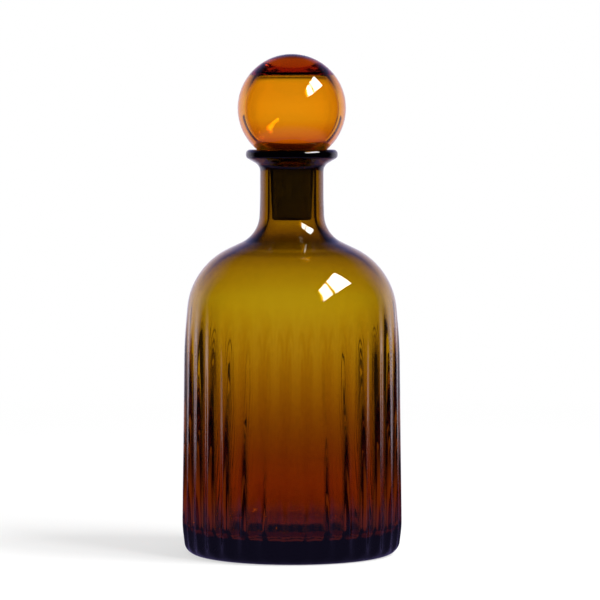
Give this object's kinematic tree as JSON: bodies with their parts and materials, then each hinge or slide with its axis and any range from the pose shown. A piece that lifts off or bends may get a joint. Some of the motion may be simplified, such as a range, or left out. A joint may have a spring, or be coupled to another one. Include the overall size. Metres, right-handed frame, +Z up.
{
  "type": "glass decanter bottle",
  "caption": "Ribbed amber glass decanter bottle with a flared lip and a lift-out stopper: a hollow orange glass ball on a tapered black rubber bung.",
  "frame": {"origin": "centre of the foot ring, on the surface the bottle stands on", "axes": "+Z up along the bottle's axis; the pictured side faces -Y"},
  "size_m": [0.107, 0.107, 0.2431],
  "materials": {
    "bottle_glass": "fire-polished amber glass",
    "ball_glass": "fire-polished orange glass",
    "bung_rubber": "moulded black rubber, satin"
  },
  "bodies": {
    "bottle": {"bottle": "bottle_glass"},
    "stopper": {"stopper_ball": "ball_glass", "stopper_bung": "bung_rubber"}
  },
  "joints": [
    {"name": "stopper_lift", "type": "slide", "parent": "bottle", "child": "stopper", "axis": [0, 0, 1], "range_m": [0, 0.045]}
  ]
}
